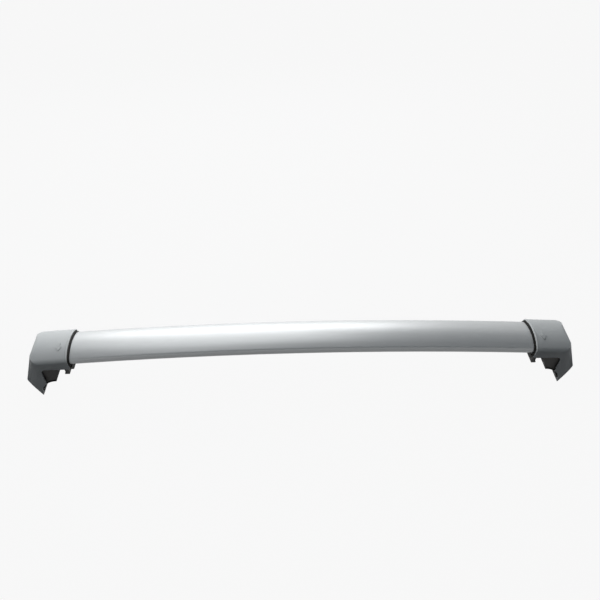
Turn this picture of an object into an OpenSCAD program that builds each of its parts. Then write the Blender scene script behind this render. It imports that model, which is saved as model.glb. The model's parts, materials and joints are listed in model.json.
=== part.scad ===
// Roof rack crossbar: a bowed hollow bar with a clamp foot at each end.
// All lengths in millimetres, all angles in degrees.
// X runs along the bar, the front edge faces -Y, Z is up from the leg tips.
// Each foot has a shell cover over a moulded base that holds the bar's end.
// Each foot is drawn for the +X end and mirrored for the other.

/* [Bar] */
// Distance from the middle of the bar to the cover's rim
rim_x = 450; // [420:5:520]
// Bar section from front edge to rear edge
bar_w = 74; // [72:0.5:74]
// Bar section from top to bottom
bar_t = 30; // [28:0.5:30]
// Radius of the bar's front and rear edges
nose_r = 9; // [8:0.5:10]
// Height of the edges below the middle of the section
nose_drop = 1; // [0:0.5:2]
// Rise of the bar's middle above its height at the rims
bar_bow = 17; // [10:1:20]
// Wall of the extrusion
bar_wall = 2.2; // [1.6:0.1:3]
// Thickness of the two upright webs in the extrusion
web_t = 2; // [1.5:0.1:3]
// Distance of each web from the middle of the section
web_y = 13; // [8:1:18]
// Length of bar inside each foot, from the rim
bar_insert = 32; // [24:1:32]
// Height of the bar's centre line at mid length
axis_h = 104; // [103:0.5:106]

/* [Foot cover] */
// Wall of the cover
cover_wall = 2; // [1.6:0.1:2]
// Distance of the crown outside the bar's surface
crown_g = 5.4; // [5.2:0.1:6]
// Half width of the cover at its crease
crease_half_w = 41; // [41:0.1:42]
// Height of the crease above the bar's centre line at the rim
crease_up = 5.3; // [4.5:0.1:6]
// Lean of the front and rear walls
wall_lean = 4.5; // [4:0.1:5]
// Distance from the rim to the end face at crease height
end_reach = 71; // [70:0.5:74]
// Lean of the end face, measured from the bar's square
end_lean = 21.4; // [20:0.1:22]
// Radius between the crown and the end face
shoulder_r = 13; // [8:1:18]
// Radius of the upright corners at the end face
corner_r = 20; // [14:1:24]
// Depth of the lower edge below the bar's mid length axis
skirt_drop = 30.6; // [30:0.1:34]
// Radius where the lower edge meets the leg
skirt_r = 10; // [6:0.5:11]
// Distance from the rim to the inner edge of the leg
leg_inner = 51; // [50.5:0.5:52.5]

/* [Leg and rail notch] */
// Distance from the rim to the heel of the leg
heel_reach = 84.5; // [84:0.5:86]
// Height of the heel above the leg tips
heel_h = 43; // [41:0.5:45]
// Distance from the rim to the leg tip
tip_reach = 67; // [66.5:0.5:68]
// Width of the flat at the leg tip
tip_flat = 1.2; // [0.8:0.1:2]
// Distance from the rim to the centre of the rail notch
notch_reach = 33; // [32:0.5:33.5]
// Height of the notch centre above the leg tips
notch_h = 5.5; // [5:0.5:6.5]
// Radius of the rail pad's face
rail_r = 29; // [28.5:0.5:29.5]
// Thickness of the rubber rail pad
pad_t = 2.5; // [2:0.25:3]
// Angle at which the pad ends on the leg, from level
pad_start = 14; // [12:1:20]
// Angle at which the pad ends on the base, from level
pad_end = 91; // [88:1:92]
// Lean of the base's inner face
inner_lean = 27.5; // [26:0.5:29]

/* [Base] */
// Wall of the sleeve round the bar
sleeve_t = 2; // [1.6:0.1:2]
// Clearance round the bar in the sleeve
sleeve_gap = 0.25; // [0.15:0.05:0.3]
// Length of sleeve that shows beyond the cover's rim
sleeve_show = 6; // [5:0.5:10]
// Further length of the lip under the bar
lip_show = 2; // [1:0.5:4]
// Depth of the sleeve's flat underside below the bar's centre line
lip_drop = 20.5; // [19.5:0.1:21]
// Half width of the base block
base_half_w = 40; // [39:0.1:40]
// Gap between the cover and the base
cover_gap = 0.25; // [0.2:0.05:0.4]
// Wall round the hollows in the base
core_wall = 3; // [2.5:0.1:3.5]

/* [Clamp jaw] */
// Height of the clamp bolt above the leg tips
bolt_h = 51; // [50:0.5:51]
// Half width of the jaw
jaw_half_w = 11; // [10:0.5:11]
// Distance from the rim to the jaw's inner face
jaw_x = 15; // [14.5:0.1:15.5]
// Thickness of the jaw's head
jaw_t = 12; // [11.5:0.1:12]
// Thickness of the jaw's finger
finger_t = 6; // [5:0.25:6.5]
// Thickness of the jaw's rubber pad
jaw_pad_t = 2; // [1.5:0.25:2.5]
// Height of the finger's lower end above the leg tips
finger_h = 12; // [12:0.5:14]
// Length of the guide tongue beyond the jaw's head
tongue_l = 20; // [16:0.5:21]
// Thickness of the guide tongue
tongue_t = 4; // [3:0.25:4]
// Clearance round the sliding tongue
slide_gap = 0.3; // [0.25:0.05:0.4]

/* [Fixings] */
// Nominal diameter of the clamp bolt
bolt_d = 8; // [8]
// Clearance on the radius where the bolt passes through a hole
bolt_gap = 0.35; // [0.3:0.05:0.5]
// Length of the clamp bolt under its head
bolt_l = 36; // [34:0.5:38]
// Diameter of the bolt's head
head_d = 13; // [13]
// Width across the flats of the head's socket
socket_af = 6; // [6]
// Thickness of the washer
washer_t = 1.6; // [1.2:0.2:1.6]
// Diameter of the washer
washer_d = 16; // [15:0.5:17]
// Width across the flats of the nut
nut_af = 13; // [13]
// Thickness of the nut
nut_t = 6.5; // [6:0.1:6.8]
// Diameter of the small screws
screw_d = 5; // [4:0.5:5]
// Distance of the small screws from the middle of the foot
screw_y = 21; // [19:0.5:22]

/* [Hidden] */

$fn = 64;
far = 200;

// Bow of the bar: one circle about a level axis far below.
bow_r = (rim_x * rim_x + bar_bow * bar_bow) / (2 * bar_bow);
bow_z = axis_h - bow_r;
end_slope = asin(rim_x / bow_r);
rim_z = axis_h - bar_bow;

// Bar section: two flat arcs joined by the two edge circles.
nose_y = bar_w / 2 - nose_r;
rise_top = bar_t / 2 + nose_drop;
rise_bot = bar_t / 2 - nose_drop;
top_r = (nose_y * nose_y + rise_top * rise_top - nose_r * nose_r) / (2 * (rise_top - nose_r));
bot_r = (nose_y * nose_y + rise_bot * rise_bot - nose_r * nose_r) / (2 * (rise_bot - nose_r));
top_c = bar_t / 2 - top_r;
bot_c = bot_r - bar_t / 2;

// Cover: crease and walls in the frame of the bar's end.
lean_t = tan(wall_lean);
lean_c = cos(wall_lean);
crown_z = bar_t / 2 + crown_g;
lip_corner = 5.5;
sleeve_half = bar_w / 2 + sleeve_gap + sleeve_t;

// Leg outline in the frame of the whole bar.
heel_x = rim_x + heel_reach;
tip_x = rim_x + tip_reach;
notch_x = rim_x + notch_reach;
leg_x = rim_x + leg_inner;
skirt_z = axis_h - skirt_drop;
seat_r = rail_r + pad_t;
sole_run = heel_x - tip_x;
sole_len = sqrt(sole_run * sole_run + heel_h * heel_h);
sole_n = [heel_h / sole_len, -sole_run / sole_len];
nib_x = notch_x + seat_r * cos(pad_start);
nib_z = notch_h + seat_r * sin(pad_start);
lip_z = rim_z - lip_drop;
face_x = notch_x + seat_r * cos(pad_end);
face_z = notch_h + seat_r * sin(pad_end);

// Clamp.
jaw_in = rim_x + jaw_x;
jaw_out = jaw_in + jaw_t;
jaw_top = bolt_h + nut_af / 2 + slide_gap + tongue_t + 0.5;
finger_out = jaw_out - 1;
head_h = bolt_d;
nut_x = jaw_out + 10;
jaw_low = notch_h + rail_r + 6;

// Section of the bar grown or shrunk by g: exact arcs on the same centres.
module bar_2d(g) {
  ut = [nose_y, -nose_drop - top_c] / (top_r - nose_r);
  ub = [nose_y, -nose_drop - bot_c] / (bot_r - nose_r);
  k = 30;
  for (s = [-1, 1])
    translate([-nose_drop, s * nose_y])
      circle(r = nose_r + g, $fn = 48);
  intersection() {
    translate([top_c, 0])
      circle(r = top_r + g, $fn = 120);
    polygon([
      [-nose_drop, -nose_y],
      [-nose_drop, nose_y],
      [-nose_drop + k * ut[1], nose_y + k * ut[0]],
      [-nose_drop + k * ut[1], -nose_y - k * ut[0]]
    ]);
  }
  intersection() {
    translate([bot_c, 0])
      circle(r = bot_r + g, $fn = 120);
    polygon([
      [-nose_drop, -nose_y],
      [-nose_drop, nose_y],
      [-nose_drop + k * ub[1], nose_y + k * ub[0]],
      [-nose_drop + k * ub[1], -nose_y - k * ub[0]]
    ]);
  }
}

// Sweeps a section along the bow from one distance to another.
module along_bow(x0, x1) {
  a0 = asin(x0 / bow_r);
  a1 = asin(x1 / bow_r);
  translate([0, 0, bow_z])
    rotate([90, 0, 0])
      rotate([0, 0, 90 - a1])
        rotate_extrude(angle = a1 - a0, $fn = 1080)
          translate([bow_r, 0])
            children();
}

// Puts a shape in the frame of the bar's centre line at the rim.
module at_rim() {
  translate([rim_x, 0, rim_z])
    rotate([0, end_slope, 0])
      children();
}

// Extrudes an XZ outline across the foot.
module across(w) {
  rotate([90, 0, 0])
    linear_extrude(height = w, center = true)
      children();
}

// Cover section across the bar, inset by s.
module crown_2d(s) {
  w_low = crease_half_w + (crease_up + 120) * lean_t - s / lean_c;
  w_high = crease_half_w + (crease_up - 40) * lean_t - s / lean_c;
  intersection() {
    union() {
      rotate([0, 0, 90])
        bar_2d(crown_g - s);
      translate([-100, -120])
        square([200, 120 - nose_drop]);
    }
    polygon([[-w_low, -120], [w_low, -120], [w_high, 40], [-w_high, 40]]);
  }
}

// Cover outline along the bar, inset by s.
module end_2d(s, x0) {
  zc = crown_z - shoulder_r;
  xc = end_reach + (crease_up - zc) * tan(end_lean) - shoulder_r / cos(end_lean);
  e = [cos(end_lean), sin(end_lean)];
  difference() {
    polygon([
      [x0, -130],
      [end_reach + (crease_up + 130) * tan(end_lean) - s / cos(end_lean), -130],
      [end_reach + (crease_up - 40) * tan(end_lean) - s / cos(end_lean), 40],
      [x0, 40]
    ]);
    translate([xc, zc])
      difference() {
        polygon([[0, 0], [0, 40], [60, 40], 60 * e]);
        circle(r = shoulder_r - s);
      }
  }
}

// Material outside the rounded upright corner, inset by s.
module corner_cut(s) {
  zr = -40;
  up = [-lean_c * sin(end_lean), -sin(wall_lean) * cos(end_lean), lean_c * cos(end_lean)];
  len_up = norm(up);
  th = acos(up[2] / len_up);
  ps = atan2(up[1], up[0]);
  ex = [cos(th) * cos(ps), cos(th) * sin(ps), -sin(th)];
  ey = [-sin(ps), cos(ps), 0];
  n1 = [0, lean_c, sin(wall_lean)];
  n2 = [cos(end_lean), 0, sin(end_lean)];
  m1 = [n1 * ex, n1 * ey];
  m2 = [n2 * ex, n2 * ey];
  k = 40;
  xa = end_reach + (crease_up - zr) * tan(end_lean) - corner_r / cos(end_lean);
  ya = crease_half_w + (crease_up - zr) * lean_t - corner_r / lean_c;
  translate([xa, ya, zr])
    rotate([0, th, ps])
      difference() {
        linear_extrude(height = 200, center = true)
          polygon([[0, 0], k * m1, k * (m1 + m2), k * m2]);
        cylinder(r = corner_r - s, h = 210, center = true, $fn = 96);
      }
}

// Solid that the cover's outside bounds, inset by s, from x0 past the rim.
module foot_solid(s, x0) {
  intersection() {
    at_rim()
      difference() {
        intersection() {
          translate([x0, 0, 0])
            rotate([90, 0, 90])
              linear_extrude(height = 140)
                crown_2d(s);
          across(120)
            end_2d(s, x0 - 1);
        }
        for (m = [0, 1])
          mirror([0, m, 0])
            corner_cut(s);
      }
    across(130)
      polygon([
        [tip_x - s / sole_n[0], 0],
        [heel_x + sole_run - s / sole_n[0], 2 * heel_h],
        [heel_x + 60, axis_h + 60],
        [rim_x - 60, axis_h + 60],
        [rim_x - 60, 0]
      ]);
  }
}

// Space kept for the rail and for the sloping way into it.
module rail_space(r) {
  across(130)
    union() {
      translate([notch_x, notch_h])
        circle(r = r, $fn = 128);
      polygon([
        [notch_x, nib_z],
        [nib_x, nib_z],
        [tip_x - tip_flat, 0],
        [tip_x - tip_flat, -30],
        [notch_x, -30]
      ]);
    }
}

// Space below the cover's lower edge and inside its leg.
module skirt_space() {
  across(130)
    difference() {
      polygon([
        [rim_x - 20, -30],
        [leg_x, -30],
        [leg_x, skirt_z],
        [rim_x - 20, skirt_z]
      ]);
      translate([leg_x - skirt_r, skirt_z - skirt_r])
        difference() {
          square(skirt_r + 1);
          circle(r = skirt_r);
        }
    }
}

module cover() {
  difference() {
    foot_solid(0, 0);
    foot_solid(cover_wall, -10);
    skirt_space();
    rail_space(seat_r + cover_gap);
    for (s = [-1, 1])
      sole_screw_at(s)
        cylinder(r = screw_d / 2 + 0.3, h = 12, center = true, $fn = 32);
  }
}

// Axis of a cover screw: z points out of the sole.
module sole_screw_at(s) {
  translate([(heel_x + tip_x) / 2, s * screw_y, heel_h / 2])
    rotate([0, 90 + atan2(sole_run, heel_h), 0])
      children();
}

// Button head screw: the shank runs down from z 0 and the head stands on it.
module button_screw() {
  difference() {
    intersection() {
      cylinder(r = screw_d * 0.9, h = screw_d * 0.6, $fn = 48);
      translate([0, 0, screw_d * 0.6 - screw_d * 1.5])
        sphere(r = screw_d * 1.5, $fn = 64);
    }
    translate([0, 0, screw_d * 0.2])
      cylinder(r = screw_d * 0.3, h = screw_d, $fn = 6);
  }
  translate([0, 0, -2 * screw_d])
    cylinder(r = screw_d / 2, h = 2.1 * screw_d, $fn = 32);
}

module cover_screws() {
  for (s = [-1, 1])
    sole_screw_at(s)
      button_screw();
}

// Section of the base's sleeve: the bar's outline with a square underside.
module sleeve_2d() {
  bar_2d(sleeve_gap + sleeve_t);
  translate([-lip_drop + lip_corner, -sleeve_half])
    square([lip_drop - lip_corner - nose_drop, 2 * sleeve_half]);
  translate([-lip_drop, -sleeve_half + lip_corner])
    square([lip_corner + 1, 2 * (sleeve_half - lip_corner)]);
  for (s = [-1, 1])
    translate([-lip_drop + lip_corner, s * (sleeve_half - lip_corner)])
      circle(r = lip_corner);
}

// Outline of the block that carries the rail notch.
module block_2d() {
  t = tan(inner_lean);
  polygon([
    [face_x + 4 * t, face_z - 4],
    [face_x - (rim_z - lip_drop + 4 - face_z) * t, rim_z - lip_drop + 4],
    [rim_x + bar_insert - 4, rim_z],
    [rim_x + bar_insert - 4, axis_h + 20],
    [heel_x + 40, axis_h + 20],
    [heel_x + 40, -20],
    [face_x + 4 * t, -20]
  ]);
}

module core_box(x0, x1, y0, y1, z0, z1) {
  translate([x0, y0, z0])
    cube([x1 - x0, y1 - y0, z1 - z0]);
}

// Hollows moulded into the base from above and from its inner face.
module cores() {
  x0 = rim_x + bar_insert + 5;
  x1 = x0 + 14;
  x2 = x1 + core_wall;
  z1 = jaw_top + slide_gap + 5;
  z2 = face_z + 18;
  z3 = rim_z + crown_z + 4;
  z4 = rim_z + crown_z - 7;
  t = tan(end_lean - end_slope);
  xe = rim_x + end_reach - 8;
  for (m = [0, 1])
    mirror([0, m, 0]) {
      core_box(x0, x1, core_wall / 2, base_half_w - core_wall, z1, 200);
      translate([0, 10, 0])
        rotate([90, 0, 0])
          linear_extrude(height = 17, center = true)
            polygon([[x2, z2], [xe + (rim_z - z2) * t, z2], [xe + (rim_z - z3) * t, z3], [x2, z3]]);
      translate([0, 25.5, 0])
        rotate([90, 0, 0])
          linear_extrude(height = 11, center = true)
            polygon([[x2, z2], [xe - 3 + (rim_z - z2) * t, z2], [xe - 3 + (rim_z - z4) * t, z4], [x2, z4]]);
      core_box(rim_x, x0 - 4, jaw_half_w + 4, base_half_w - core_wall - 1, face_z + 9, lip_z - 4);
    }
}

module base() {
  difference() {
    union() {
      difference() {
        along_bow(rim_x - sleeve_show - lip_show, rim_x + bar_insert + 4)
          sleeve_2d();
        along_bow(rim_x - sleeve_show - lip_show - 5, rim_x - sleeve_show)
          translate([-10, -60])
            square([60, 120]);
      }
      intersection() {
        foot_solid(cover_wall + cover_gap, -4);
        across(2 * base_half_w)
          block_2d();
      }
    }
    along_bow(rim_x - 20, rim_x + bar_insert + 0.5)
      bar_2d(sleeve_gap);
    rail_space(seat_r);
    cores();
    clamp_space();
    bar_screw_at()
      cylinder(r = screw_d / 2 + 0.3, h = 30, center = true, $fn = 32);
    for (s = [-1, 1])
      sole_screw_at(s)
        translate([0, 0, -10.5])
          cylinder(r = screw_d / 2, h = 12, $fn = 32);
  }
}

// Room in the base for the jaw's head, its tongue, the bolt and the nut.
module clamp_space() {
  w = jaw_half_w + slide_gap;
  core_box(rim_x - 10, jaw_out + 0.5, -w, w, -5, jaw_top + slide_gap);
  core_box(rim_x, jaw_out + tongue_l + 0.5, -w, w, jaw_top - tongue_t - slide_gap, jaw_top + slide_gap);
  translate([jaw_out - 5, 0, bolt_h])
    rotate([0, 90, 0])
      cylinder(r = bolt_d / 2 + bolt_gap, h = 28, $fn = 48);
  nut_w = nut_af / 2 / cos(30) + 0.1;
  core_box(nut_x, nut_x + nut_t, -nut_w, nut_w, bolt_h - nut_af / 2, jaw_top);
}

// Axes of the screws that hold the bar: z points down out of the lip.
module bar_screw_at() {
  for (s = [-1, 1])
    at_rim()
      translate([5, s * screw_y, -lip_drop])
        rotate([180, 0, 0])
          children();
}

module bar_screws() {
  bar_screw_at()
    button_screw();
}

module bar_extrusion() {
  difference() {
    along_bow(-rim_x - bar_insert, rim_x + bar_insert)
      difference() {
        bar_2d(0);
        difference() {
          bar_2d(-bar_wall);
          for (s = [-1, 1])
            translate([-bar_t, s * web_y - web_t / 2])
              square([2 * bar_t, web_t]);
        }
      }
    for (m = [0, 1])
      mirror([m, 0, 0])
        bar_screw_at()
          translate([0, 0, -11])
            cylinder(r = screw_d / 2, h = 12, $fn = 32);
  }
}

// Rubber pad that lines the notch.
module rail_pad() {
  across(2 * base_half_w + 2)
    translate([notch_x, notch_h])
      difference() {
        circle(r = seat_r, $fn = 128);
        circle(r = rail_r, $fn = 128);
        polygon([
          [0, 0],
          [0, -far],
          [far, -far],
          far * [cos(pad_start), sin(pad_start)]
        ]);
        polygon([
          [0, 0],
          far * [cos(pad_end), sin(pad_end)],
          [-far, far],
          [-far, -far],
          [0, -far]
        ]);
      }
}

// Rubber lip ring between the sleeve's mouth and the bar.
module collar_seal() {
  along_bow(rim_x - sleeve_show - 1.4, rim_x - sleeve_show)
    difference() {
      bar_2d(sleeve_gap + sleeve_t - 0.5);
      bar_2d(0);
      translate([-lip_drop - 1, -sleeve_half])
        square([lip_drop - 8.7, 2 * sleeve_half]);
    }
}

// Cast jaw: head round the bolt, guide tongue, and a finger beside the rail.
module clamp_jaw() {
  difference() {
    union() {
      across(2 * jaw_half_w)
        polygon([
          [jaw_in, jaw_top],
          [jaw_out, jaw_top],
          [jaw_out, jaw_low],
          [finger_out, jaw_low - 3],
          [finger_out, finger_h + 6],
          [finger_out + 4.5, finger_h + 3],
          [finger_out + 4.5, finger_h],
          [finger_out - finger_t + 1.5, finger_h],
          [finger_out - finger_t, finger_h + 3],
          [finger_out - finger_t, jaw_low - 6],
          [jaw_in, jaw_low + 2]
        ]);
      core_box(jaw_out - 1, jaw_out + tongue_l, -jaw_half_w, jaw_half_w, jaw_top - tongue_t, jaw_top);
    }
    translate([jaw_in - 5, 0, bolt_h])
      rotate([0, 90, 0])
        cylinder(r = bolt_d / 2 + bolt_gap, h = 28, $fn = 48);
    core_box(jaw_in + 3, jaw_out + 30, -5.4, 5.4, bolt_h - 5.4, jaw_top - tongue_t);
    for (m = [0, 1])
      mirror([0, m, 0])
        core_box(-far, far * 5, 8, 20, -1, jaw_low - 2);
  }
}

module jaw_pad() {
  core_box(finger_out, finger_out + jaw_pad_t, -8, 8, finger_h + 7, jaw_low - 3.5);
}

module clamp_washer() {
  translate([jaw_in - washer_t, 0, bolt_h])
    rotate([0, 90, 0])
      difference() {
        cylinder(d = washer_d, h = washer_t, $fn = 64);
        translate([0, 0, -1])
          cylinder(r = bolt_d / 2 + bolt_gap, h = washer_t + 2, $fn = 48);
      }
}

// Socket head bolt: head toward the middle of the bar, shank toward the rail.
module clamp_bolt() {
  translate([jaw_in - washer_t, 0, bolt_h])
    rotate([0, 90, 0]) {
      difference() {
        translate([0, 0, -head_h])
          cylinder(d = head_d, h = head_h, $fn = 64);
        translate([0, 0, -head_h - 1])
          cylinder(d = socket_af / cos(30), h = head_h * 0.5 + 1, $fn = 6);
      }
      translate([0, 0, -0.5])
        cylinder(d = bolt_d, h = bolt_l + 0.5, $fn = 48);
    }
}

module clamp_nut() {
  translate([nut_x, 0, bolt_h])
    rotate([0, 90, 0])
      difference() {
        rotate([0, 0, 30])
          cylinder(d = nut_af / cos(30), h = nut_t, $fn = 6);
        translate([0, 0, -1])
          cylinder(r = bolt_d / 2 + 0.05, h = nut_t + 2, $fn = 48);
      }
}

module silver() {
  color([0.74, 0.76, 0.77])
    children();
}

module black() {
  color([0.13, 0.13, 0.13])
    children();
}

module steel() {
  color([0.6, 0.6, 0.58])
    children();
}

module left() {
  mirror([1, 0, 0])
    children();
}

silver() bar_extrusion();
silver() cover();  // right_cover
silver() left() cover();  // left_cover
black() base();  // right_base
black() left() base();  // left_base
black() rail_pad();  // right_rail_pad
black() left() rail_pad();  // left_rail_pad
black() collar_seal();  // right_collar_seal
black() left() collar_seal();  // left_collar_seal
steel() clamp_jaw();  // right_clamp_jaw
steel() left() clamp_jaw();  // left_clamp_jaw
black() jaw_pad();  // right_jaw_pad
black() left() jaw_pad();  // left_jaw_pad
steel() clamp_bolt();  // right_clamp_bolt
steel() left() clamp_bolt();  // left_clamp_bolt
steel() clamp_washer();  // right_clamp_washer
steel() left() clamp_washer();  // left_clamp_washer
steel() clamp_nut();  // right_clamp_nut
steel() left() clamp_nut();  // left_clamp_nut
steel() bar_screws();  // right_bar_screws
steel() left() bar_screws();  // left_bar_screws
steel() cover_screws();  // right_cover_screws
steel() left() cover_screws();  // left_cover_screws
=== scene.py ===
"""Roof rack crossbar: materials, small details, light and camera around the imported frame. Metres throughout."""

import json
import math

import bmesh
import bpy
from mathutils import Matrix, Vector
from mathutils.bvhtree import BVHTree


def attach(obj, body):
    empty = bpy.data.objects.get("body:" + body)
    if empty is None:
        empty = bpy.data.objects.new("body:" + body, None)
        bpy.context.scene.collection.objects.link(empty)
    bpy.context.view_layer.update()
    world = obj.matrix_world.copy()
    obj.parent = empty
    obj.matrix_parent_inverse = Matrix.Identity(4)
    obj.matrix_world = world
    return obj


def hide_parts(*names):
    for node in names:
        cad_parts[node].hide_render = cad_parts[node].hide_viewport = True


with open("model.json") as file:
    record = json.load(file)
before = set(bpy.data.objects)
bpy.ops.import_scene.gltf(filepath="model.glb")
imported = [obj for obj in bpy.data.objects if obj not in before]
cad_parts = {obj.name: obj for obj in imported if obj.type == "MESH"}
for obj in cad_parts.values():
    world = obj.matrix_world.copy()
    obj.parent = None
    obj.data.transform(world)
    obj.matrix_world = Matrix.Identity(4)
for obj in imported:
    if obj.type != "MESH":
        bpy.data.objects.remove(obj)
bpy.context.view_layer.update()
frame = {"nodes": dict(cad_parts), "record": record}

MM = 0.001
SIDES = (("right", 1.0), ("left", -1.0))
WELD_DISTANCE = 0.00001

# Camera: the photograph's view, for a 600 by 600 image
IMAGE_PX = 600.0
FOCAL_PX = 552.1
SENSOR_MM = 36.0
CAMERA_DISTANCE = 1.0665
CAMERA_RISE = math.radians(47.0)
CAMERA_YAW = math.radians(2.83)
CAMERA_ROLL = math.radians(-0.877)
CAMERA_SIDE = -0.00926
CAMERA_LIFT = 0.07051
CAMERA_CLIP_START = 0.01
BAR_AXIS_Z = 0.104


def camera_at_the_photo():
    """The camera, with its axes worked out from rise, yaw and roll round the middle of the bar."""
    right = Vector((1, 0, 0))
    up = Vector((0, math.sin(CAMERA_RISE), math.cos(CAMERA_RISE)))
    ahead = Vector((0, math.cos(CAMERA_RISE), -math.sin(CAMERA_RISE)))
    place = CAMERA_SIDE * right + CAMERA_LIFT * up - CAMERA_DISTANCE * ahead
    cos_roll, sin_roll = math.cos(CAMERA_ROLL), math.sin(CAMERA_ROLL)
    x_axis = cos_roll * right - sin_roll * up
    y_axis = sin_roll * right + cos_roll * up
    turn = Matrix.Rotation(-CAMERA_YAW, 3, "Z")
    basis = Matrix([turn @ x_axis, turn @ y_axis, turn @ -ahead]).transposed().to_4x4()
    data = bpy.data.cameras.new("camera")
    data.sensor_width = SENSOR_MM
    data.lens = FOCAL_PX / IMAGE_PX * SENSOR_MM
    data.clip_start = CAMERA_CLIP_START
    camera = bpy.data.objects.new("camera", data)
    bpy.context.collection.objects.link(camera)
    spot = turn @ place + Vector((0, 0, BAR_AXIS_Z))
    camera.matrix_world = Matrix.Translation(spot) @ basis
    bpy.context.scene.camera = camera


# Materials: one look for each slot of the record
PLAIN = (1, 1, 1)
BROAD_SCALE = 9.0
SURFACES = {
    "anodised_bar": dict(
        dark=(0.50, 0.515, 0.52),
        light=(0.57, 0.585, 0.59),
        metallic=0.3,
        rough=(0.36, 0.42),
        grain=900,
        stretch=(0.02, 1, 1),
        bump_height=4e-5,
        bump_strength=0.12,
        specular=0.3,
    ),
    "silver_paint": dict(
        dark=(0.46, 0.48, 0.485),
        light=(0.54, 0.56, 0.565),
        metallic=0.0,
        rough=(0.38, 0.44),
        grain=2600,
        stretch=PLAIN,
        bump_height=2e-5,
        bump_strength=0.12,
        specular=0.25,
    ),
    "black_plastic": dict(
        dark=(0.020, 0.019, 0.017),
        light=(0.036, 0.034, 0.031),
        metallic=0.0,
        rough=(0.5, 0.62),
        grain=1500,
        stretch=PLAIN,
        bump_height=8e-5,
        bump_strength=0.4,
        specular=0.2,
    ),
    "black_rubber": dict(
        dark=(0.012, 0.012, 0.012),
        light=(0.022, 0.022, 0.022),
        metallic=0.0,
        rough=(0.72, 0.85),
        grain=1200,
        stretch=PLAIN,
        bump_height=8e-5,
        bump_strength=0.4,
        specular=0.2,
    ),
    "black_cast_jaw": dict(
        dark=(0.03, 0.03, 0.03),
        light=(0.05, 0.05, 0.05),
        metallic=0.0,
        rough=(0.42, 0.55),
        grain=800,
        stretch=PLAIN,
        bump_height=2e-4,
        bump_strength=0.4,
        specular=0.2,
    ),
    "zinc_steel": dict(
        dark=(0.46, 0.46, 0.44),
        light=(0.58, 0.58, 0.56),
        metallic=0.9,
        rough=(0.28, 0.36),
        grain=700,
        stretch=PLAIN,
        bump_height=3e-5,
        bump_strength=0.2,
        specular=0.5,
    ),
    "screw_steel": dict(
        dark=(0.38, 0.38, 0.37),
        light=(0.48, 0.48, 0.47),
        metallic=0.9,
        rough=(0.3, 0.38),
        grain=700,
        stretch=PLAIN,
        bump_height=3e-5,
        bump_strength=0.2,
        specular=0.5,
    ),
}


def new_material(name):
    """A material with its node tree and its shader."""
    material = bpy.data.materials.new(name)
    material.use_nodes = True
    tree = material.node_tree
    return material, tree, tree.nodes["Principled BSDF"]


def noise(tree, scale, stretch=PLAIN, detail=4.0, roughness=0.55):
    """A noise texture in object coordinates, stretched along each axis."""
    place = tree.nodes.new("ShaderNodeTexCoord")
    mapping = tree.nodes.new("ShaderNodeMapping")
    mapping.inputs["Scale"].default_value = stretch
    texture = tree.nodes.new("ShaderNodeTexNoise")
    texture.inputs["Scale"].default_value = scale
    texture.inputs["Detail"].default_value = detail
    texture.inputs["Roughness"].default_value = roughness
    tree.links.new(place.outputs["Object"], mapping.inputs["Vector"])
    tree.links.new(mapping.outputs["Vector"], texture.inputs["Vector"])
    return texture.outputs["Fac"]


def to_range(tree, value, low, high):
    """Maps a value from 0..1 to low..high."""
    node = tree.nodes.new("ShaderNodeMapRange")
    node.inputs["To Min"].default_value = low
    node.inputs["To Max"].default_value = high
    tree.links.new(value, node.inputs["Value"])
    return node.outputs["Result"]


def to_colour(tree, value, dark, light):
    """A colour between dark and light."""
    node = tree.nodes.new("ShaderNodeMix")
    node.data_type = "RGBA"
    node.inputs["A"].default_value = (*dark, 1)
    node.inputs["B"].default_value = (*light, 1)
    tree.links.new(value, node.inputs["Factor"])
    return node.outputs["Result"]


def bump(tree, shader, value, height, strength):
    """Bump of that height in metres on the shader's normal."""
    node = tree.nodes.new("ShaderNodeBump")
    node.inputs["Strength"].default_value = strength
    node.inputs["Distance"].default_value = height
    tree.links.new(value, node.inputs["Height"])
    tree.links.new(node.outputs["Normal"], shader.inputs["Normal"])


def surface(name, dark, light, metallic, rough, grain, stretch, bump_height, bump_strength, specular):
    """A procedural surface: a fine grain varies its colour and gives the bump, a broad one its roughness."""
    material, tree, shader = new_material(name)
    fine = noise(tree, grain, stretch)
    broad = noise(tree, BROAD_SCALE, detail=2.0)
    tree.links.new(to_colour(tree, fine, dark, light), shader.inputs["Base Color"])
    tree.links.new(to_range(tree, broad, *rough), shader.inputs["Roughness"])
    shader.inputs["Metallic"].default_value = metallic
    shader.inputs["Specular IOR Level"].default_value = specular
    bump(tree, shader, fine, bump_height, bump_strength)
    return material


# Rounded edges
BASE_EDGE = 0.0005
COVER_EDGE = 0.0009
BEVEL_STEPS = 3
SHARP_ANGLE = math.radians(35)


def soften(piece, width):
    """Rounds a piece's sharp edges a little, so that they catch the light."""
    weld = piece.modifiers.new("weld", "WELD")
    weld.merge_threshold = WELD_DISTANCE
    bevel = piece.modifiers.new("bevel", "BEVEL")
    bevel.width = width
    bevel.segments = BEVEL_STEPS
    bevel.limit_method = "ANGLE"
    bevel.angle_limit = SHARP_ANGLE
    bevel.harden_normals = True


def dress_nodes(materials):
    """Gives every CAD node the material of its slot, and the bases softened edges."""
    slots = {row["node"]: row["material_slot"] for row in frame["record"]["subparts"]}
    for name, node in frame["nodes"].items():
        node.data.materials.clear()
        node.data.materials.append(materials[slots[name]])
        if name.endswith("_base"):
            soften(node, BASE_EDGE)


# Light, floor and backdrop
FLOOR_SIZE = 8.0
BACKDROP_RADIUS = 3.6
BACKDROP_HEIGHT = 3.0
BACKDROP_FOOT = -0.01
BACKDROP_STEPS = 96
STAGE_COLOUR = (0.10, 0.105, 0.11, 1)
STAGE_ROUGHNESS = 0.9
WHITE = (1, 1, 1, 1)
WHITE_SHARE = 0.93
WORLD_COLOUR = (0.082, 0.098, 0.112, 1)


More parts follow.
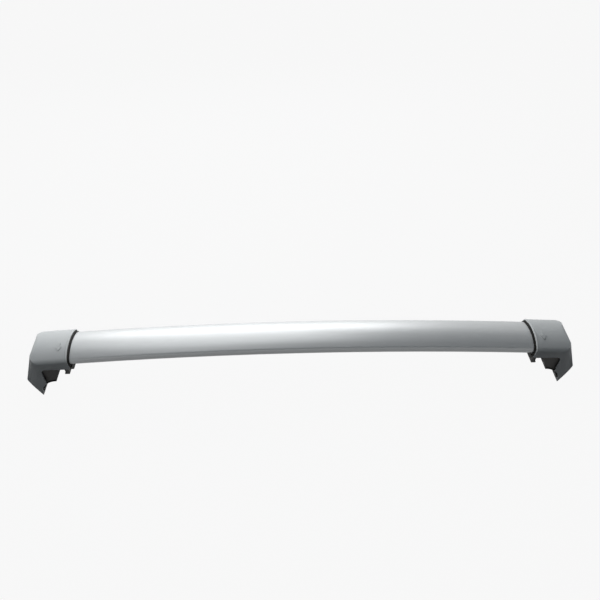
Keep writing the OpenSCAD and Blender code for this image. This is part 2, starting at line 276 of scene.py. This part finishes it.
def make_world():
    """Soft dim light from above; the backdrop hides the world from the camera."""
    world = bpy.data.worlds.new("world")
    bpy.context.scene.world = world
    world.use_nodes = True
    light = world.node_tree.nodes["Background"]
    light.inputs["Color"].default_value = WORLD_COLOUR
    light.inputs["Strength"].default_value = 1.0


def background_rays(tree, share):
    """A factor that is the share for camera, glossy and transmission rays, and 0 for all others."""
    path = tree.nodes.new("ShaderNodeLightPath")
    shown = path.outputs["Is Camera Ray"]
    for kind in ("Is Glossy Ray", "Is Transmission Ray"):
        either = tree.nodes.new("ShaderNodeMath")
        either.operation = "MAXIMUM"
        tree.links.new(shown, either.inputs[0])
        tree.links.new(path.outputs[kind], either.inputs[1])
        shown = either.outputs[0]
    scaled = tree.nodes.new("ShaderNodeMath")
    scaled.operation = "MULTIPLY"
    scaled.inputs[1].default_value = share
    tree.links.new(shown, scaled.inputs[0])
    return scaled.outputs[0]


def stage_material(name):
    """A dark stage surface that camera, glass and metal see as white, and that keeps the object's shadow."""
    material, tree, shader = new_material(name)
    shader.inputs["Base Color"].default_value = STAGE_COLOUR
    shader.inputs["Roughness"].default_value = STAGE_ROUGHNESS
    glow = tree.nodes.new("ShaderNodeEmission")
    glow.inputs["Color"].default_value = WHITE
    glow.inputs["Strength"].default_value = 1.0
    mix = tree.nodes.new("ShaderNodeMixShader")
    tree.links.new(background_rays(tree, WHITE_SHARE), mix.inputs["Fac"])
    tree.links.new(shader.outputs[0], mix.inputs[1])
    tree.links.new(glow.outputs[0], mix.inputs[2])
    tree.links.new(mix.outputs[0], tree.nodes["Material Output"].inputs["Surface"])
    return material


def make_floor():
    """The floor."""
    bpy.ops.mesh.primitive_plane_add(size=FLOOR_SIZE, location=(0, 0, 0))
    floor = bpy.context.object
    floor.name = "floor"
    floor.data.materials.append(stage_material("floor"))


def make_backdrop():
    """A round wall far behind the object, the same all round."""
    verts = []
    for i in range(BACKDROP_STEPS):
        angle = 2 * math.pi * i / BACKDROP_STEPS
        x, y = BACKDROP_RADIUS * math.cos(angle), BACKDROP_RADIUS * math.sin(angle)
        verts += [(x, y, BACKDROP_FOOT), (x, y, BACKDROP_HEIGHT)]
    faces = []
    for i in range(BACKDROP_STEPS):
        a, b = 2 * i, 2 * ((i + 1) % BACKDROP_STEPS)
        faces.append((a, b, b + 1, a + 1))
    mesh = bpy.data.meshes.new("backdrop")
    mesh.from_pydata(verts, [], faces)
    for polygon in mesh.polygons:
        polygon.use_smooth = True
    wall = bpy.data.objects.new("backdrop", mesh)
    bpy.context.collection.objects.link(wall)
    mesh.materials.append(stage_material("backdrop"))


def area_light(name, place, aim, size, watts):
    """A soft rectangular lamp at a place, aimed at a point."""
    data = bpy.data.lights.new(name, "AREA")
    data.shape = "RECTANGLE"
    data.size, data.size_y = size
    data.energy = watts
    lamp = bpy.data.objects.new(name, data)
    bpy.context.collection.objects.link(lamp)
    lamp.location = place
    lamp.rotation_euler = (Vector(aim) - Vector(place)).to_track_quat("-Z", "Y").to_euler()


def make_lights():
    """Two wide soft lamps left of the middle, one behind the bar and one overhead, as in the photograph."""
    area_light("key_light", place=(-0.20, 1.05, 0.72), aim=(-0.14, 0.0, 0.1), size=(1.4, 0.8), watts=15.0)
    area_light("top_light", place=(-0.30, 0.30, 1.00), aim=(-0.18, 0.0, 0.1), size=(1.0, 0.8), watts=6.0)


# A foot's frame lies at the cover's rim, in the slope of the bar's end
RIM_X = 0.450
RIM_Z = 0.087
RIM_SLOPE = math.radians(4.327)


def foot_frame(sx):
    """Origin of a foot's frame and its axes along the bar, across it and up."""
    along = Vector((sx * math.cos(RIM_SLOPE), 0, -math.sin(RIM_SLOPE)))
    up = Vector((sx * math.sin(RIM_SLOPE), 0, math.cos(RIM_SLOPE)))
    return Vector((sx * RIM_X, 0, RIM_Z)), along, Vector((0, 1, 0)), up


def mesh_piece(name, verts, faces, material, body):
    """A smooth mesh object from points and faces, with its material, body and slot."""
    mesh = bpy.data.meshes.new(name)
    mesh.from_pydata([tuple(v) for v in verts], [], faces)
    mesh.update()
    for polygon in mesh.polygons:
        polygon.use_smooth = True
    mesh.materials.append(material)
    piece = bpy.data.objects.new(name, mesh)
    bpy.context.collection.objects.link(piece)
    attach(piece, body)
    return piece


def surface_of(piece):
    """Search tree of a piece's mesh."""
    mesh = piece.data
    return BVHTree.FromPolygons([v.co for v in mesh.vertices], [tuple(f.vertices) for f in mesh.polygons])


# Cover: its leaning wall and end face meet at the crease, over a round upright corner that ends at the heel
WALL_LEAN = math.radians(4.5)
END_LEAN = math.radians(21.4)
CREASE_HALF_W = 0.041
CREASE_UP = 0.0053
END_REACH = 0.071
HEEL = Vector((0.5345, 0, 0.043))
TIP = Vector((0.517, 0, 0))
CORNER_R = 0.020
HEEL_R = 0.0035
COVER_WALL = 0.002
CORNER_MARGIN = 1e-5
SOLE_FROM_DEPTH = 0.5
CUTS_ALONG = [0.004 * step for step in range(1, 20)]
CUTS_DOWN = [0.006 * step for step in range(14)]


def corner_planes(sx, sy):
    """Normals of a foot's wall and end face, and the point on both planes at the crease."""
    origin, along, across, up = foot_frame(sx)
    wall = math.cos(WALL_LEAN) * sy * across + math.sin(WALL_LEAN) * up
    end = math.cos(END_LEAN) * along + math.sin(END_LEAN) * up
    crease = origin + CREASE_UP * up + CREASE_HALF_W * sy * across + END_REACH * along
    return wall, end, crease


def corner_depth(point, sx, wall, end, crease):
    """How far down the corner a point lies: 0 at the crease, 1 at the heel."""
    edge = wall.cross(end)
    heel = Vector((sx * HEEL.x, crease.y, HEEL.z))
    return edge.dot(crease - point) / edge.dot(crease - heel)


def back_on_sole(moved, point, sx, wall, end):
    """Slides a moved point in the plane of the wall, back to the height over the sole that it had."""
    run = HEEL - TIP
    sole = Vector((sx * run.z, 0, -run.x)).normalized()
    in_wall = end - wall.dot(end) * wall
    return moved - in_wall * sole.dot(moved - point) / sole.dot(in_wall)


def tightened_corner(point, sx):
    """Moves a point of the cover's round upright corners out, so that they taper to a tight radius at the heel."""
    wall, end, crease = corner_planes(sx, 1.0 if point.y > 0 else -1.0)
    from_wall = wall.dot(crease - point)
    from_end = end.dot(crease - point)
    if max(from_wall, from_end) > CORNER_R + CORNER_MARGIN:
        return point
    depth = corner_depth(point, sx, wall, end, crease)
    scale = 1 + (HEEL_R / CORNER_R - 1) * min(max(depth, 0.0), 1.0)
    inset = CORNER_R - math.hypot(CORNER_R - from_wall, CORNER_R - from_end)
    inset = min(max(inset, 0.0), COVER_WALL)
    to_wall = (from_wall - inset) * (1 - scale)
    to_end = (from_end - inset) * (1 - scale)
    lean = wall.dot(end)
    shift = (to_wall - lean * to_end) * wall + (to_end - lean * to_wall) * end
    moved = point + shift / (1 - lean * lean)
    if depth > SOLE_FROM_DEPTH:
        moved = back_on_sole(moved, point, sx, wall, end)
    return moved


def divide(piece, sx):
    """Cuts a cover's long facets across, so that each vertex's smooth normal stays local."""
    mesh = bmesh.new()
    mesh.from_mesh(piece.data)
    bmesh.ops.remove_doubles(mesh, verts=mesh.verts, dist=WELD_DISTANCE)
    origin, along, across, up = foot_frame(sx)
    cuts = [(origin + reach * along, along) for reach in CUTS_ALONG]
    cuts += [(origin - drop * up, up) for drop in CUTS_DOWN]
    for place, normal in cuts:
        everything = mesh.verts[:] + mesh.edges[:] + mesh.faces[:]
        bmesh.ops.bisect_plane(mesh, geom=everything, dist=WELD_DISTANCE, plane_co=place, plane_no=normal)
    mesh.to_mesh(piece.data)
    mesh.free()


def cover_shell(side, sx, material):
    """The foot's cover: the CAD node's shell with upright corners that tighten toward the heel."""
    name = side + "_cover"
    source = frame["nodes"][name].data
    verts = [tightened_corner(v.co.copy(), sx) for v in source.vertices]
    faces = [tuple(f.vertices) for f in source.polygons]
    piece = mesh_piece(side + "_cover_shell", verts, faces, material, "bar")
    divide(piece, sx)
    soften(piece, COVER_EDGE)
    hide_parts(name)
    return piece


# Rolled rim: its section in mm, as distance from the cover's rim toward the middle and height over its outside
ROLL = [
    (-0.6, -0.3),
    (0.0, 0.0),
    (0.5, 0.3),
    (1.2, 0.55),
    (2.0, 0.62),
    (2.8, 0.5),
    (3.5, 0.1),
    (4.0, -0.5),
    (4.3, -1.2),
    (4.2, -1.9),
    (3.8, -2.0),
    (-0.6, -1.9),
]
RIM_INSET = 0.0004
RIM_SWEEP_DEG = 107
RIM_RAY_FROM = 0.09
RIM_NEAREST = 0.018
NORMAL_SPAN = 5
PLACE_SPAN = 2


def rim_path(cover, sx):
    """Points round the cover's outside at its rim, each with its normal."""
    tree = surface_of(cover)
    origin, along, across, up = foot_frame(sx)
    start = origin + RIM_INSET * along
    path = []
    for step in range(-RIM_SWEEP_DEG, RIM_SWEEP_DEG + 1):
        angle = math.radians(step)
        out = math.cos(angle) * up + math.sin(angle) * across
        hit, normal, index, distance = tree.ray_cast(start + RIM_RAY_FROM * out, -out)
        if hit is not None and (hit - origin).length > RIM_NEAREST:
            path.append((hit, normal))
    return path


def rolled_rim(side, sx, cover, material):
    """The rolled edge that runs round the cover's rim, over the base's sleeve."""
    along = foot_frame(sx)[1]
    path = rim_path(cover, sx)
    verts, faces = [], []
    for i in range(len(path)):
        near = path[max(i - NORMAL_SPAN, 0):i + NORMAL_SPAN + 1]
        out = sum((normal for hit, normal in near), Vector()).normalized()
        spots = [hit for hit, normal in path[max(i - PLACE_SPAN, 0):i + PLACE_SPAN + 1]]
        spot = sum(spots, Vector()) / len(spots) - RIM_INSET * along
        for toward, height in ROLL:
            verts.append(spot - MM * toward * along + MM * height * out)
    count = len(ROLL)
    for i in range(len(path) - 1):
        for k in range(count):
            a, b = i * count + k, i * count + (k + 1) % count
            faces.append((a, b, b + count, a + count))
    faces.append(tuple(range(count - 1, -1, -1)))
    faces.append(tuple(range((len(path) - 1) * count, len(path) * count)))
    mesh_piece(side + "_rolled_rim", verts, faces, material, "bar")


# Arrow: half widths of the shaft, the head and the point, and how far its tail, neck and tip lie from its middle
ARROW_SHAFT = 0.0022
ARROW_HEAD = 0.0062
ARROW_POINT = 0.0004
ARROW_TAIL = 0.0085
ARROW_NECK = -0.0005
ARROW_TIP = -0.0085
ARROW_FROM_RIM = 0.013
ARROW_FORWARD = 0.012
ARROW_COLUMNS = 6
ARROW_ROWS = 12
ARROW_RAY_FROM = 0.08
ARROW_THICK = 0.0022
ARROW_EDGE = 0.00025


def arrow_mark(side, sx, cover, material):
    """A small raised arrow on the cover's top, which points to the front edge."""
    tree = surface_of(cover)
    origin, along, across, up = foot_frame(sx)
    middle = origin + ARROW_FROM_RIM * along - ARROW_FORWARD * across
    verts, faces = [], []
    shaft = (ARROW_TAIL, ARROW_NECK, ARROW_SHAFT, ARROW_SHAFT)
    head = (ARROW_NECK, ARROW_TIP, ARROW_HEAD, ARROW_POINT)
    for y0, y1, w0, w1 in (shaft, head):
        base = len(verts)
        for i in range(ARROW_ROWS + 1):
            share = i / ARROW_ROWS
            y, w = y0 + (y1 - y0) * share, w0 + (w1 - w0) * share
            for k in range(ARROW_COLUMNS + 1):
                x = w * (2 * k / ARROW_COLUMNS - 1)
                start = middle + x * along + y * across + ARROW_RAY_FROM * up
                hit, normal, index, distance = tree.ray_cast(start, -up)
                verts.append(hit)
        for i in range(ARROW_ROWS):
            for k in range(ARROW_COLUMNS):
                a = base + i * (ARROW_COLUMNS + 1) + k
                faces.append((a, a + 1, a + ARROW_COLUMNS + 2, a + ARROW_COLUMNS + 1))
    piece = mesh_piece(side + "_arrow_mark", verts, faces, material, "bar")
    thick = piece.modifiers.new("thickness", "SOLIDIFY")
    thick.thickness = ARROW_THICK
    thick.offset = 0.0
    soften(piece, ARROW_EDGE)


camera_at_the_photo()
materials = {name: surface(name, **look) for name, look in SURFACES.items()}
dress_nodes(materials)
make_world()
make_floor()
make_backdrop()
make_lights()
for side, sx in SIDES:
    cover = cover_shell(side, sx, materials["silver_paint"])
    rolled_rim(side, sx, cover, materials["silver_paint"])
    arrow_mark(side, sx, cover, materials["silver_paint"])

bpy.context.scene.view_settings.view_transform = "Standard"
